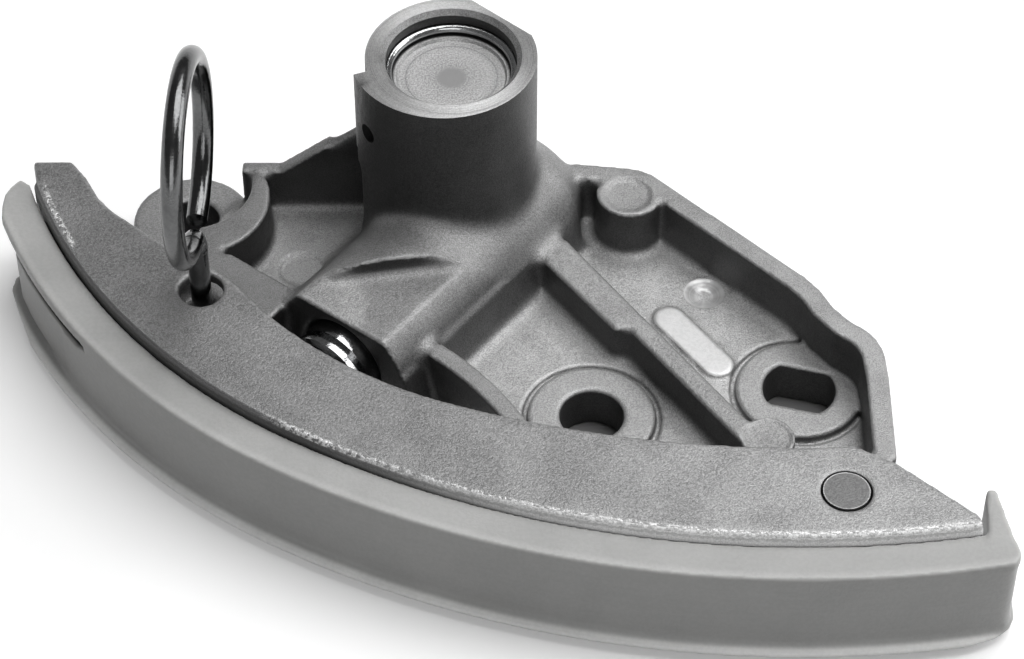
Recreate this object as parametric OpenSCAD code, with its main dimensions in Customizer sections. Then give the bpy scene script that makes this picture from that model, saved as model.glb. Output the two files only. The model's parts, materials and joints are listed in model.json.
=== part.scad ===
// Hydraulic timing chain tensioner: a cast housing with three bolt points, a spring and oil piston,
// a swinging arm with a plastic chain lining, and a ring pin that locks the arm for fitting.
// Millimetres. The origin is the centre of the round bolt hole on the mounting face, Z is up from
// that face and X runs along the arm.

/* [Housing levels] */
// Height of the cast floor above the mounting face
floor_z = 4.5; // [3:0.1:6]
// Height of the cast floor beside the lug
left_floor_z = 5.2; // [3:0.1:6]
// Height of the rim, the corner post, the curved wall and the locking tongue
rim_z = 10.4; // [8:0.1:12]
// Height of the three bolt bosses
boss_z = 5; // [4:0.1:7]
// Height of the stiffening block and of the slanting rib
rib_z = 9; // [6:0.1:11]

/* [Bolt points] */
// Diameter of the round bolt hole at the origin
bolt_d = 6.4; // [5:0.1:9]
// Diameter of the boss round that hole
bolt_boss_d = 12.8; // [10:0.1:18]
// Slot position along X
slot_x = 20.9; // [15:0.1:28]
// Slot position along Y
slot_y = 3.5; // [-3:0.1:8]
// Width of the slot between its flats
slot_w = 5.3; // [5:0.1:8]
// Length of the slot between its rounded ends
slot_l = 7.3; // [6:0.1:11]
// Direction of the slot's long axis
slot_dir = -15; // [-90:1:90]
// Diameter of the boss round the slot
slot_boss_d = 12.8; // [10:0.1:16]
// Lug hole position along X
lug_x = -41.6; // [-48:0.1:-36]
// Lug hole position along Y
lug_y = 27.3; // [22:0.1:34]
// Diameter of the lug hole
lug_d = 5.6; // [4:0.1:8]
// Diameter of the round lug
lug_boss_d = 12.4; // [10:0.1:16]
// Edge chamfer of the bolt holes
hole_chamfer = 0.2; // [0.1:0.05:1]
// Depth of the relief groove round the two inner bosses
groove_depth = 0.5; // [0.2:0.1:1.5]
// Width of that relief groove
groove_w = 0.6; // [0.3:0.1:1.5]

/* [Rim and ribs] */
// Thickness of the rim
rim_t = 2.3; // [1.5:0.1:4]
// Radius of the round corner post
post_r = 3.45; // [2:0.1:6]
// Diameter of the round ejector marks
mark_d = 4.9; // [3:0.1:7]
// Depth of the round ejector marks
mark_depth = 0.25; // [0.1:0.05:0.6]
// Diameter of the turned dimple in the right floor
dimple_d = 4.1; // [2:0.1:6]
// Depth of that dimple
dimple_depth = 0.6; // [0.2:0.1:1.5]
// Length of the bare oblong pad between its end centres
pad_l = 7.8; // [3:0.1:10]
// Width of the bare oblong pad
pad_w = 3.2; // [2:0.1:5]
// Height of the bare oblong pad above the floor
pad_h = 0.4; // [0.2:0.1:1]
// Thickness of the slanting rib
rib_t = 2.3; // [1.2:0.1:4]
// Radius of the round pad at the rib's end
rib_pad_r = 2.7; // [2:0.1:4]
// Thickness of the curved front wall
front_wall_t = 2; // [1:0.1:3]
// Radius of the curved front wall on its outer face
front_wall_r = 33; // [25:0.5:45]
// Outer radius of the curved wall round the lug
lug_wall_r = 8.2; // [7.4:0.1:10]
// Thickness of the back wall and its gusset
back_wall_t = 1.6; // [1:0.1:3]
// Height at which the gusset meets the reservoir
gusset_z = 16.5; // [12:0.1:22]

/* [Piston barrel] */
// Mouth centre along X
mouth_x = -25; // [-30:0.1:-20]
// Mouth centre along Y
mouth_y = 5.6; // [0:0.1:10]
// Direction in which the piston moves out
bore_dir = 232.9; // [220:0.1:245]
// Height of the barrel's axis
bore_z = 7; // [6:0.1:9]
// Radius of the barrel
barrel_r = 8; // [7:0.1:10]
// Length of the full barrel
barrel_l = 29.5; // [26:0.1:34]
// Length of the tapered rear end
barrel_tail = 3.5; // [1:0.1:6]
// Length of the sloping left flank
flank_l = 18; // [10:0.1:22]
// Reach of the sloping left flank from the axis
flank_w = 11.6; // [9:0.1:14]
// Height of the flat over the mouth
flat_z = 12.9; // [12.3:0.1:15]
// Depth of the piston bore
bore_l = 24; // [20:0.1:26]
// Distance of the oil passage behind the mouth
feed_x = 26; // [25:0.1:27]
// Diameter of the oil passage
feed_d = 2; // [1:0.1:2.2]
// Diameter of the oil port in the mounting face
port_d = 4; // [2.5:0.1:6]
// Depth of the oil port
port_depth = 1; // [0.5:0.1:1.6]

/* [Reservoir] */
// Reservoir centre along X
res_x = -14; // [-18:0.1:-10]
// Reservoir centre along Y
res_y = 25.6; // [22:0.1:30]
// Height of the reservoir's top
res_z = 29.8; // [24:0.1:36]
// Outer radius on the front
res_r = 9.5; // [8.6:0.1:11]
// Outer radius on the back and right
res_back_r = 8.6; // [7.8:0.1:10]
// Shift of the outer wall from the bore, to the left
res_shift = 0.7; // [0:0.1:1]
// Shift of the outer wall from the bore, to the back
res_back_shift = 0.6; // [0:0.1:1]
// Distance of the flat on the right back from the bore's axis
res_flat_x = 7.6; // [7.25:0.05:8.4]
// Direction of that flat
res_flat_dir = 49; // [40:0.5:70]
// Radius of the reservoir's chamber
res_bore_r = 5.9; // [5.2:0.05:6.2]
// Height of the chamber's floor
res_floor_z = 16.5; // [15.5:0.1:20]
// Diameter of the vent hole
vent_d = 2; // [1:0.1:4]
// Distance of the vent hole below the top
vent_drop = 5.8; // [5.7:0.1:10]
// Direction of the vent hole
vent_dir = 211; // [180:1:220]
// Radius of the closing plug
plug_r = 6.5; // [6.3:0.05:6.9]
// Thickness of the closing plug
plug_t = 2; // [1:0.1:3]
// Depth of the plug's top below the rim
plug_drop = 2.6; // [2:0.1:4]
// Wire diameter of the snap ring
snap_d = 1; // [0.6:0.05:1.4]
// Gap between the ends of the snap ring
snap_gap = 24; // [10:1:60]

/* [Piston and valve] */
// Diameter of the piston
piston_d = 9; // [8:0.1:9.6]
// Diameter of the piston's nose
nose_d = 7; // [5:0.1:7.6]
// How far the full diameter stands out of the mouth
piston_out = 3; // [1:0.1:4]
// How far the nose stands out of the mouth
nose_out = 10.85; // [8:0.05:11.5]
// Length of the piston inside the bore
piston_in = 18.5; // [14:0.1:19.5]
// Diameter of the spring chamber in the piston
piston_bore_d = 7; // [6:0.1:7.2]
// Wire diameter of the main spring
spring_wire = 0.6; // [0.4:0.05:0.8]
// Mean diameter of the main spring
spring_d = 5.7; // [5:0.1:6]
// Number of turns of the main spring
spring_turns = 8; // [4:1:12]
// Thickness of the valve seat
seat_t = 1.5; // [1:0.1:2]
// Diameter of the valve's passage
seat_hole_d = 1.8; // [1:0.1:2.4]
// Diameter of the check ball
ball_d = 2.6; // [2.4:0.1:3.2]
// Height of the valve cage over its flange
cage_h = 3; // [2.4:0.1:3.2]
// Outer diameter of the cage's cup
cage_d = 4.7; // [4.2:0.1:4.9]
// Thickness of the cage's sheet metal
cage_t = 0.4; // [0.2:0.05:0.6]

/* [Arm] */
// Pivot position along X
pivot_x = 23.7; // [20:0.1:28]
// Pivot position along Y
pivot_y = -16.5; // [-20:0.1:-12]
// Height of the arm's upper face
arm_top = 13; // [12.6:0.1:15]
// Thickness of the arm's upper plate
arm_plate_t = 1.4; // [1:0.1:1.8]
// Height of the arm's lower face
arm_base = 2; // [1.5:0.1:2.6]
// Thickness of the arm's lower flange
arm_flange_t = 1.2; // [0.8:0.1:1.6]
// Width of the arm's lower flange
arm_flange_w = 4.5; // [3.4:0.1:5]
// Thickness of the wall behind the lining
arm_wall_t = 2.6; // [1.8:0.1:3.2]
// Radius of the arm's outer edge on the left
arm_left_r = 63.7; // [60:0.1:68]
// Radius of the arm's outer edge on the right
arm_right_r = 97.3; // [90:0.1:110]
// Place along X where the arm's two outer arcs meet
arm_joint_x = -29.73; // [-34:0.01:-26]
// Place along Y where the arm's two outer arcs meet
arm_joint_y = -8.586; // [-12:0.001:-5]
// Direction of the two arcs' common radius at that place
arm_joint = -120.5; // [-130:0.1:-110]
// Radius of the arm's inner edge on the left
inner_left_r = 45.5; // [40:0.1:52]
// Radius of the arm's inner edge on the right
inner_right_r = 104.5; // [90:0.1:120]
// Place along X where the arm's two inner arcs meet
inner_joint_x = -13.77; // [-18:0.01:-10]
// Place along Y where the arm's two inner arcs meet
inner_joint_y = -5.45; // [-9:0.01:-2]
// Direction of the two inner arcs' common radius at that place
inner_joint = -108.8; // [-120:0.1:-100]
// Half width of the pad that the piston pushes
thrust_half = 5; // [3:0.1:6]
// Distance of that pad in front of the mouth
thrust_x = 11.2; // [10:0.05:12]
// Diameter of the locking hole in the arm
lock_hole_d = 4.4; // [3.6:0.1:6]
// Chamfer of the locking hole
lock_chamfer = 0.15; // [0.1:0.05:0.6]

/* [Lining] */
// Height of the lining's upper face
lining_top = 11.7; // [10:0.1:12.5]
// Height of the lining's lower face
lining_base = 1; // [0.4:0.1:1.4]
// Thickness of the projecting lower lip
lip_t = 0.7; // [0.4:0.05:1.2]
// Width of the projecting lower lip
lip_w = 1.2; // [0.8:0.1:3]
// Thickness of the lining between the arm's wall and the chain
lining_t = 4.1; // [3:0.1:6]
// Width of the hook under the arm
lining_hook_w = 3.5; // [2:0.1:5]
// Slope of the end hook's upper edge
hook_slope = 6; // [3:0.5:12]
// Distance from the pivot to the foot of that slope, towards the chain
hook_foot = 5.9; // [4:0.1:6.2]
// Height of the slit at the left end
slit_h = 0.7; // [0.3:0.05:1.2]
// Depth of that slit below the upper face
slit_drop = 1.5; // [0.8:0.1:3]
// Depth of that slit into the running face
slit_depth = 1.6; // [0.6:0.1:2.4]

/* [Pins] */
// Diameter of the pivot pin
pivot_d = 4.5; // [4:0.1:5.4]
// Height of the pivot pin's lower end
pivot_base = 1.6; // [0.6:0.1:2]
// Radius of the housing's pivot lug
pivot_lug_r = 4.1; // [3.6:0.05:4.4]
// Locking position along X
lock_x = -39; // [-42:0.1:-36]
// Locking position along Y
lock_y = 9.65; // [7:0.1:12]
// Wire diameter of the ring pin
wire_d = 2.1; // [1.5:0.1:3]
// Mean radius of the ring
ring_r = 9.8; // [7:0.1:14]
// Height of the ring's centre
ring_z = 31.3; // [26:0.1:40]
// Turn of the ring about its leg
ring_dir = 86; // [0:1:180]
// Bend radius between ring and leg
bend_r = 3; // [2:0.1:5]
// Height of the leg's lower end
leg_z = 8.8; // [7:0.1:9.6]
// Ring angle of the cut wire end
wire_end = 277; // [275:1:310]

/* [Fits] */
// Radial play of the piston in its bore
piston_play = 0.05; // [0.01:0.01:0.1]
// Radial play of the arm on its pivot pin
pivot_play = 0.05; // [0.01:0.01:0.1]
// Radial play of the ring pin in the tongue
lock_play = 0.1; // [0.02:0.01:0.1]
// Radial fit of pressed or seated pieces
seat_fit = 0.02; // [0.01:0.01:0.05]
// Play round the plug and the snap ring
plug_play = 0.08; // [0.03:0.01:0.15]
// Gap between the lining and the arm's wall
lining_gap = 0.15; // [0.05:0.05:0.3]
// Gap between the arm and the lugs inside it
arm_gap = 0.3; // [0.2:0.05:0.6]

/* [Hidden] */
$fn = 64;
eps = 0.05;
big = 200;
pivot = [pivot_x, pivot_y];
arm_joint_u = [cos(arm_joint), sin(arm_joint)];
arm_left_c = [arm_joint_x, arm_joint_y] - arm_left_r * arm_joint_u;
arm_right_c = [arm_joint_x, arm_joint_y] - arm_right_r * arm_joint_u;
inner_joint_u = [cos(inner_joint), sin(inner_joint)];
inner_left_c = [inner_joint_x, inner_joint_y] - inner_left_r * inner_joint_u;
inner_right_c = [inner_joint_x, inner_joint_y] - inner_right_r * inner_joint_u;
front_wall_c = [-37.1, -22.4];
bore_r = piston_d / 2 + piston_play;
arm_under = arm_top - arm_plate_t;
arm_floor = arm_base + arm_flange_t;
lug_top = arm_under - arm_gap;
lug_base = arm_floor + arm_gap;
plug_top = res_z - plug_drop;
plug_base = plug_top - plug_t;
snap_r = plug_r + plug_play - snap_d / 2 + 0.4;
seat_face = -bore_l + seat_t;
ball_x = seat_face + sqrt(pow(ball_d / 2, 2) - pow(seat_hole_d / 2, 2)) + 0.05;
cage_flange_x = seat_face + cage_t;
bend_z = -sqrt(pow(ring_r + bend_r, 2) - pow(bend_r, 2));
bend_a = 180 + atan2(-bend_z, bend_r);
rim_path = [[-4.6, 30.6], [3.9, 29.6], [5.4, 29.3], [6.7, 28.55], [7.9, 27.4], [21.75, 13.9],
            [23.25, 11.95], [24.3, 9.8], [25.9, 7.8], [27.4, 6.6], [28.3, 5.5], [29, 3.75],
            [29.25, 0.45], [29.2, -10.3]];

// Local frame of the barrel: X out of the mouth, Z up from the mounting face
module along_bore() {
  translate([mouth_x, mouth_y, 0])
    rotate([0, 0, bore_dir])
      children();
}

// Turned piece on the piston axis, from distance a to distance b
module rod(a, b, r) {
  along_bore()
    translate([a, 0, bore_z])
      rotate([0, 90, 0])
        cylinder(r = r, h = b - a);
}

// Tapered turned piece on the piston axis
module taper(a, b, ra, rb) {
  along_bore()
    translate([a, 0, bore_z])
      rotate([0, 90, 0])
        cylinder(r1 = ra, r2 = rb, h = b - a);
}

// Unit vector to the right of the line from p to q
function side(p, q) = [q[1] - p[1], p[0] - q[0]] / norm(q - p);

// Offset of a path's corner between two sides, per unit of thickness
function corner(a, b) = (a + b) / (1 + a * b);

// Offset of point i of a path to its right, per unit of thickness
function inward(path, i) =
  i == 0 ? side(path[0], path[1]) :
  i == len(path) - 1 ? side(path[i - 1], path[i]) :
  corner(side(path[i - 1], path[i]), side(path[i], path[i + 1]));

// Upright wall of even thickness on the right-hand side of a path
module wall(path, t, h) {
  inner = [for (i = [len(path) - 1 : -1 : 0]) path[i] + t * inward(path, i)];
  linear_extrude(h)
    polygon(concat(path, inner));
}

// Area inside an edge made of a left and a right arc that meet at one angle
module two_arcs(lc, lr, rc, rr, joint, grow) {
  translate(lc)
    circle(r = lr + grow, $fn = 180);
  intersection() {
    translate(rc)
      circle(r = rr + grow, $fn = 180);
    translate(rc)
      polygon([[0, 0], big * [cos(joint + 0.3), sin(joint + 0.3)], [big, -big], [big, 0]]);
  }
}

module arm_area(grow) {
  two_arcs(arm_left_c, arm_left_r, arm_right_c, arm_right_r, arm_joint, grow);
}

module lining_area(grow) {
  arm_area(lining_t + grow);
}

// Place at an angle on the arm's left arc, moved out from it
function left_at(a, out) = arm_left_c + (arm_left_r + out) * [cos(a), sin(a)];

// Plan of the lining from the arm's wall to the chain
module lining_band() {
  difference() {
    lining_area(0);
    arm_area(lining_gap);
  }
}

// Plan of the arm's upper plate
module arm_plan() {
  difference() {
    arm_area(0);
    two_arcs(inner_left_c, inner_left_r, inner_right_c, inner_right_r, inner_joint, 0);
    polygon([left_at(224.7, -11.37), left_at(218.4, -10.74), left_at(213.8, -8.84),
             left_at(206.5, -6.28), left_at(204.2, -5.69), left_at(201.0, -5.42), left_at(198.1, -4.56),
             left_at(197.0, -0.75), left_at(200.1, -0.33), left_at(192, 12), [-70, 120], [0, 120],
             [0, 20]]);
    polygon([pivot + [-3.7, 7.5], pivot + [1.7, 5.35], pivot + [5, 3.5], pivot + [12.7, -3.3],
             pivot + [12.7, -43.5], [140, -60], [140, 120], [-10, 120]]);
  }
}

// Plan of the housing's right half
module right_plan() {
  difference() {
    polygon(concat(rim_path, [[17.5, -10.8], [4, -12.6], [-8, -10], [-24, 4], [-18, 24]]));
    translate(front_wall_c)
      circle(r = front_wall_r, $fn = 180);
    translate([pivot_x, pivot_y])
      circle(r = 6.2);
  }
}

// Curved wall between the mouth and the round boss
module front_wall() {
  intersection() {
    translate([front_wall_c[0], front_wall_c[1], 0])
      difference() {
        cylinder(r = front_wall_r + front_wall_t, h = rim_z, $fn = 180);
        translate([0, 0, -1])
          cylinder(r = front_wall_r, h = rim_z + 2, $fn = 180);
      }
    translate([0, 0, -1])
      linear_extrude(rim_z + 2)
        polygon([[-22, 2], [-6.2, -11], [-2, -8], [-17, 9]]);
  }
}

// Round lug with its curved wall, the left floor and the locking tongue
module left_side() {
  translate([lug_x, lug_y, 0])
    cylinder(d = lug_boss_d, h = boss_z);
  linear_extrude(left_floor_z)
    polygon([[-41.9, 23.4], [-36.2, 30.4], [-20, 30.4], [-18, 16], [-28, 10], [-36.6, 17.1]]);
  intersection() {
    difference() {
      translate([lug_x + 0.4, lug_y - 2.3, 0])
        cylinder(r = lug_wall_r, h = rim_z);
      translate([lug_x, lug_y, boss_z])
        cylinder(r = lug_boss_d / 2 + 0.4, h = rim_z);
    }
    translate([lug_x, lug_y, -1])
      linear_extrude(rim_z + 2)
        polygon([[1, 1], [16, 6.4], [16, -16], [2, -16]]);
  }
  translate([0, 30.4, 0])
    rotate([90, 0, 0])
      linear_extrude(back_wall_t)
        polygon([[-36.2, 0], [-20, 0], [-20, gusset_z + 3.4], [-24, gusset_z], [-32.1, rim_z],
                 [-36.2, rim_z]]);
  linear_extrude(rim_z)
    intersection() {
      polygon([[-38.6, 17.6], [-36.6, 17.1], [-29.4, 11.7], [-37, 1.6], [-48, 9.6], [-41, 18.5]]);
      translate(arm_left_c)
        circle(r = arm_left_r - arm_flange_w - 0.6, $fn = 180);
    }
}

// Barrel of the piston with its sloping flanks and tapered rear
module barrel() {
  rod(-barrel_l, 0, barrel_r);
  taper(-barrel_l - barrel_tail, -barrel_l, barrel_r - 2.5, barrel_r);
  along_bore()
    translate([-barrel_l, 0, 0])
      rotate([90, 0, 90])
        linear_extrude(barrel_l)
          polygon([[0, 0], [0, bore_z], [barrel_r - 2.2, bore_z + 5.2], [barrel_r, bore_z + 2],
                   [barrel_r + 1.1, floor_z - 0.3], [barrel_r + 1.1, 0]]);
  along_bore()
    translate([-flank_l, 0, 0])
      rotate([90, 0, 90])
        linear_extrude(flank_l)
          polygon([[0, 0], [-flank_w, 0], [-flank_w, floor_z - 0.1], [-barrel_r + 1.8, bore_z + 4.6],
                   [0, bore_z]]);
}

module reservoir_body() {
  translate([res_x, res_y, 0])
    cylinder(r = res_back_r, h = res_z);
  translate([res_x - res_shift, res_y + res_back_shift, 0]) {
    intersection() {
      cylinder(r = res_r, h = res_z);
      translate([0, 0, -1])
        linear_extrude(res_z + 2)
          polygon([[0, 0], 30 * [cos(200), sin(200)], [-30, -30], [30, -30], 30 * [cos(-40), sin(-40)]]);
    }
  }
}

// Neck and round lug that carry the pivot pin between the arm's plates
module pivot_lug() {
  translate([pivot_x, pivot_y, lug_base])
    cylinder(r = pivot_lug_r, h = lug_top - lug_base);
  translate([0, 0, lug_base])
    linear_extrude(rim_z - lug_base)
      polygon([[pivot_x - 4.3, pivot_y + 1.2], [19.4, -9.5], [28.8, -9.5], [pivot_x + 4.4, pivot_y + 1]]);
}

module slot_plan() {
  intersection() {
    circle(d = slot_l);
    square([slot_l + 1, slot_w], center = true);
  }
}

module housing_solid() {
  linear_extrude(floor_z)
    right_plan();
  wall(rim_path, rim_t, rim_z);
  translate([4.25, 25.9, 0])
    cylinder(r = post_r, h = rim_z);
  linear_extrude(rim_z)
    polygon([[1.1, 26.2], [7.4, 26.2], [8, 26.7], [5, 28.9], [1.1, 29.5]]);
  cylinder(d = bolt_boss_d, h = boss_z);
  translate([slot_x, slot_y, 0])
    cylinder(d = slot_boss_d, h = boss_z);
  linear_extrude(rib_z)
    polygon([[-8.5, 17.6], [-5, 22.5], [-2.6, 20.9], [6.4, 8.2], [2.4, 7.8], [-4.9, 17.6]]);
  wall([[5.6, 9.4], [16, -5.3]], rib_t, rib_z);
  translate([17, -6.4, 0])
    cylinder(r = rib_pad_r, h = rib_z);
  translate([8.2, 13.2, 0])
    rotate([0, 0, -53.5])
      linear_extrude(floor_z + pad_h)
        union() {
          translate([0, -pad_w / 2])
            square([pad_l, pad_w]);
          circle(d = pad_w);
          translate([pad_l, 0])
            circle(d = pad_w);
        }
  front_wall();
  left_side();
  barrel();
  reservoir_body();
  pivot_lug();
}

// Bolt hole with a small chamfer at its upper edge
module bolt_hole(d, top) {
  translate([0, 0, -1])
    cylinder(d = d, h = top + 2);
  translate([0, 0, top - hole_chamfer])
    cylinder(r1 = d / 2, r2 = d / 2 + hole_chamfer + eps, h = hole_chamfer + eps);
}

// Ring groove cut into the floor round a boss
module boss_groove(d) {
  translate([0, 0, floor_z - groove_depth])
    difference() {
      cylinder(d = d + 2 * groove_w, h = groove_depth + eps);
      translate([0, 0, -1])
        cylinder(d = d, h = groove_depth + 2);
    }
}

module housing() {
  color("#9a9c9f")
    difference() {
      housing_solid();
      translate([-big / 2, -big / 2, -20])
        cube([big, big, 20]);
      // flat over the mouth, ending at a slanting step
      translate([-14, 12.9, flat_z])
        rotate([0, 0, 9.5])
          translate([-30, -30, 0])
            cube([60, 30, 12]);
      bolt_hole(bolt_d, boss_z);
      translate([lug_x, lug_y, 0])
        bolt_hole(lug_d, boss_z);
      translate([slot_x, slot_y, -1])
        rotate([0, 0, slot_dir])
          linear_extrude(boss_z + 2)
            slot_plan();
      boss_groove(bolt_boss_d);
      translate([slot_x, slot_y, 0])
        boss_groove(slot_boss_d);
      translate([4.1, 25.6, rim_z - mark_depth])
        cylinder(d = mark_d, h = 1);
      translate([17, -6.4, rib_z - mark_depth])
        cylinder(d = mark_d, h = 1);
      translate([-29.7, 19.8, left_floor_z - mark_depth])
        cylinder(d = mark_d, h = 1);
      translate([11.9, 17, floor_z - dimple_depth])
        cylinder(d1 = dimple_d * 0.5, d2 = dimple_d, h = dimple_depth + eps);
      // piston bore, rear chamber and oil passage
      rod(-bore_l, 1, bore_r);
      taper(-0.5, 0.1, bore_r, bore_r + 0.6);
      rod(-feed_x - feed_d, -bore_l + 1, 2);
      along_bore()
        translate([-feed_x, 0, -1])
          cylinder(d = feed_d, h = res_floor_z + 2);
      along_bore()
        translate([-feed_x, 0, -1])
          cylinder(d = port_d, h = port_depth + 1);
      // reservoir chamber, plug seat, ring groove and vent
      translate([res_x, res_y, 0]) {
        translate([0, 0, res_floor_z])
          cylinder(r = res_bore_r, h = res_z);
        translate([0, 0, plug_base])
          cylinder(r = plug_r + plug_play, h = res_z);
        translate([0, 0, plug_top])
          cylinder(r = snap_r + snap_d / 2 + plug_play, h = snap_d + plug_play);
        translate([0, 0, res_z - 0.5])
          cylinder(r1 = plug_r + plug_play, r2 = plug_r + plug_play + 0.6, h = 0.6);
        rotate([0, 0, vent_dir])
          translate([0, 0, res_z - vent_drop])
            rotate([0, 90, 0])
              cylinder(d = vent_d, h = 20);
      }
      translate([res_x, res_y, res_floor_z + 0.3])
        rotate([0, 0, res_flat_dir])
          translate([res_flat_x, -15, 0])
            cube([10, 30, res_z]);
      // locking hole and pivot hole
      translate([lock_x, lock_y, -1])
        cylinder(d = wire_d + 2 * lock_play, h = rim_z + 2);
      translate([lock_x, lock_y, rim_z - 0.7])
        cylinder(d1 = wire_d + 2 * lock_play, d2 = 3.6, h = 0.75);
      translate([pivot_x, pivot_y, -1])
        cylinder(d = pivot_d + 2 * seat_fit, h = 20);
    }
}

module reservoir_plug() {
  color("#c4c4c2")
    translate([res_x, res_y, plug_base])
      difference() {
        cylinder(r = plug_r, h = plug_t);
        translate([0, 0, plug_t - 0.3])
          cylinder(r1 = plug_r - 1.1, r2 = plug_r - 0.8, h = 0.5);
      }
}

module plug_snap_ring() {
  color("#d8d8d6")
    translate([res_x, res_y, plug_top + snap_d / 2])
      rotate([0, 0, 270 + snap_gap / 2])
        rotate_extrude(angle = 360 - snap_gap)
          translate([snap_r, 0])
            circle(d = snap_d, $fn = 24);
}

module piston() {
  color("#d2d4d6")
    difference() {
      union() {
        rod(-piston_in, piston_out - 0.4, piston_d / 2);
        taper(piston_out - 0.4, piston_out, piston_d / 2, piston_d / 2 - 0.4);
        rod(0, nose_out - 0.8, nose_d / 2);
        taper(nose_out - 0.8, nose_out, nose_d / 2, nose_d / 2 - 1.2);
      }
      rod(-piston_in - 1, 0.6, piston_bore_d / 2);
      along_bore()
        translate([1.2, 0, bore_z])
          rotate([0, 90, 0])
            difference() {
              cylinder(r = piston_d, h = 0.8);
              translate([0, 0, -1])
                cylinder(r = piston_d / 2 - 0.6, h = 3);
            }
    }
}

module piston_spring() {
  span = 360 * spring_wire / ((0.4 + bore_l - seat_t - cage_t) / spring_turns);
  color("#b9bcc0")
    along_bore()
      translate([cage_flange_x, 0, bore_z])
        rotate([0, 90, 0])
          linear_extrude(0.5 - cage_flange_x, twist = -360 * spring_turns, slices = 16 * spring_turns,
                         $fn = 10)
            polygon([for (k = [0 : 36 : 324])
              (spring_d / 2 + spring_wire / 2 * cos(k)) * [cos(span / 2 * sin(k)), sin(span / 2 * sin(k))]]);
}

module valve_seat() {
  color("#b0b2b4")
    difference() {
      rod(-bore_l, seat_face, piston_d / 2 + piston_play - seat_fit);
      rod(-bore_l - 1, seat_face + 1, seat_hole_d / 2);
    }
}

module check_ball() {
  color("#dcdcdc")
    along_bore()
      translate([ball_x, 0, bore_z])
        sphere(d = ball_d);
}

module valve_cage() {
  color("#a8a9aa")
    difference() {
      union() {
        rod(seat_face, seat_face + cage_t, piston_d / 2 - 0.3);
        rod(seat_face, seat_face + cage_h, cage_d / 2);
      }
      rod(seat_face - 1, seat_face + cage_h - cage_t, cage_d / 2 - cage_t);
      rod(seat_face, seat_face + cage_h + 1, 0.6);
    }
}

module arm() {
  color("#a4a6a8")
    difference() {
      union() {
        translate([0, 0, arm_under])
          linear_extrude(arm_plate_t)
            arm_plan();
        translate([0, 0, arm_base])
          linear_extrude(arm_top - arm_base - 0.4)
            difference() {
              arm_plan();
              arm_area(-arm_wall_t);
            }
        translate([0, 0, arm_base])
          linear_extrude(arm_flange_t)
            difference() {
              arm_plan();
              difference() {
                arm_area(-arm_flange_w);
                translate([pivot_x, pivot_y])
                  circle(r = 5.2);
              }
            }
        along_bore()
          translate([thrust_x, -thrust_half, arm_base + 0.4])
            cube([2.6, 2 * thrust_half, arm_under - arm_base]);
      }
      translate([pivot_x, pivot_y, arm_floor])
        cylinder(r = pivot_lug_r + arm_gap, h = arm_under - arm_floor);
      translate([pivot_x, pivot_y, 0])
        cylinder(d = pivot_d + 2 * pivot_play, h = 20);
      translate([pivot_x, pivot_y, arm_top - 0.35])
        cylinder(r1 = pivot_d / 2 + pivot_play, r2 = pivot_d / 2 + pivot_play + 0.2, h = 0.4);
      translate([lock_x, lock_y, arm_under - 1])
        cylinder(d = lock_hole_d, h = 4);
      translate([lock_x, lock_y, arm_top - lock_chamfer])
        cylinder(r1 = lock_hole_d / 2, r2 = lock_hole_d / 2 + lock_chamfer + eps, h = lock_chamfer + eps);
    }
}

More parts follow.
